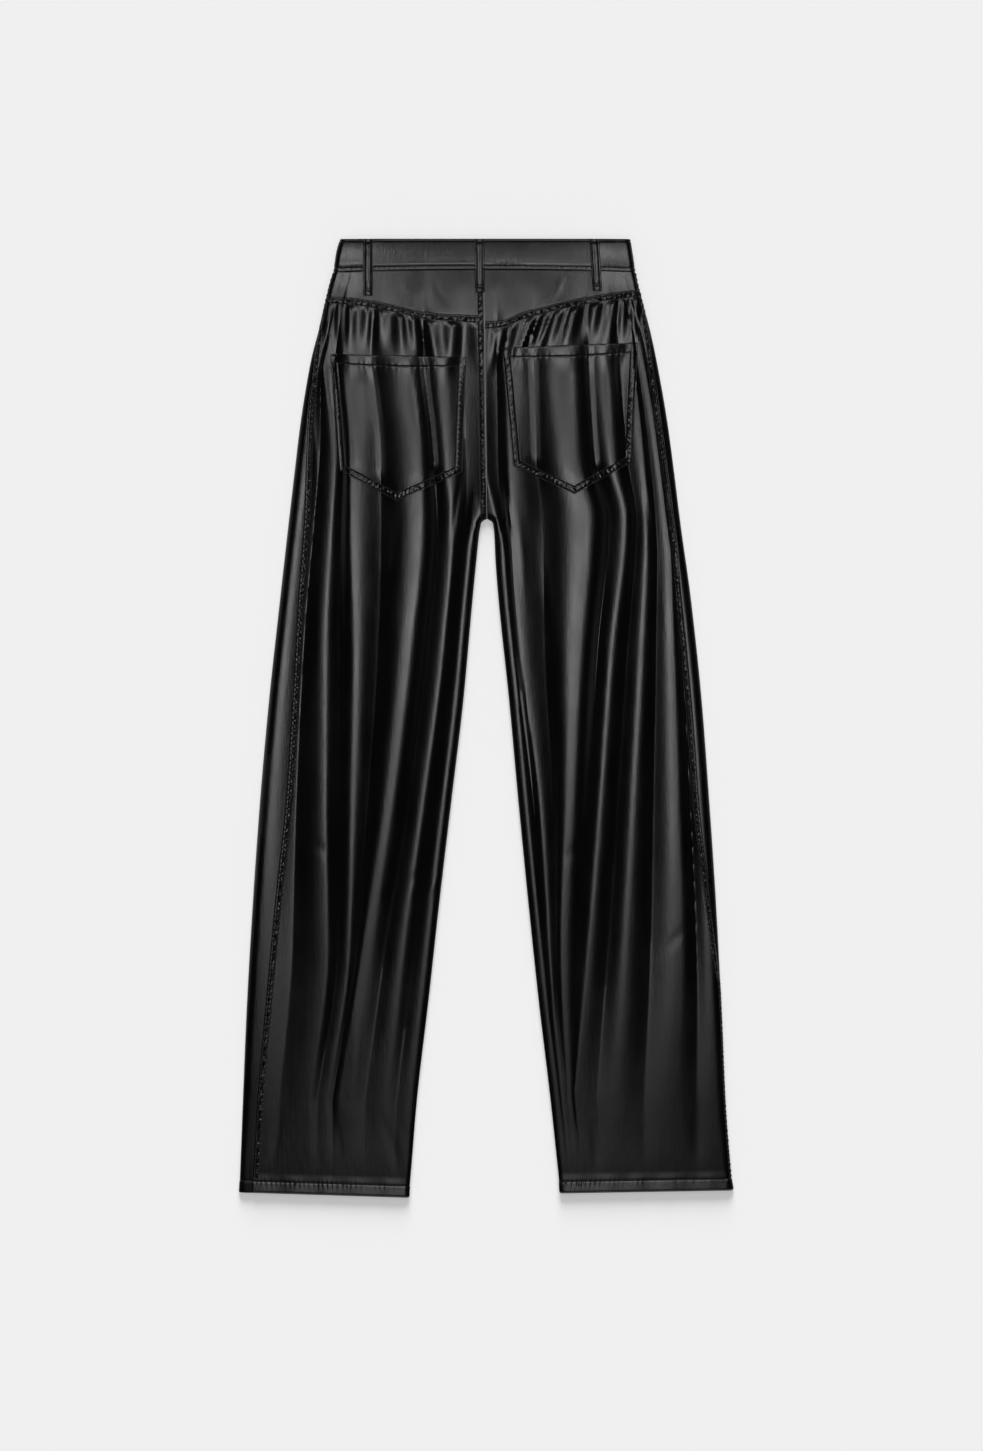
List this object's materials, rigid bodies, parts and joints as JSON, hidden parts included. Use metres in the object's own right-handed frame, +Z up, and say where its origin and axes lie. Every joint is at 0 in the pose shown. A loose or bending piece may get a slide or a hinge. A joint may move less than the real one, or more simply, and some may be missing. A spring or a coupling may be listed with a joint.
{
  "type": "faux leather trousers",
  "caption": "Black faux leather straight-leg trousers laid flat with the back up, with a waistband, belt loops, back yoke and patch pockets.",
  "frame": {"origin": "middle of the outline, on the surface that the trousers lie on", "axes": "+X to the right as the back is looked at, +Y along the legs towards the waist, +Z up from the surface"},
  "size_m": [0.5427, 1.0536, 0.0147],
  "materials": {
    "leather": "smooth black polyurethane faux leather with a soft gloss",
    "button": "black horn-look resin button"
  },
  "bodies": {
    "root": {"back_left": "leather", "back_right": "leather", "front_left": "leather", "front_right": "leather", "yoke_left": "leather", "yoke_right": "leather", "pocket_left": "leather", "pocket_right": "leather", "loop_back_left": "leather", "loop_back_centre": "leather", "loop_back_right": "leather", "loop_front_left": "leather", "loop_front_right": "leather", "waistband": "leather", "button": "button"}
  },
  "joints": []
}
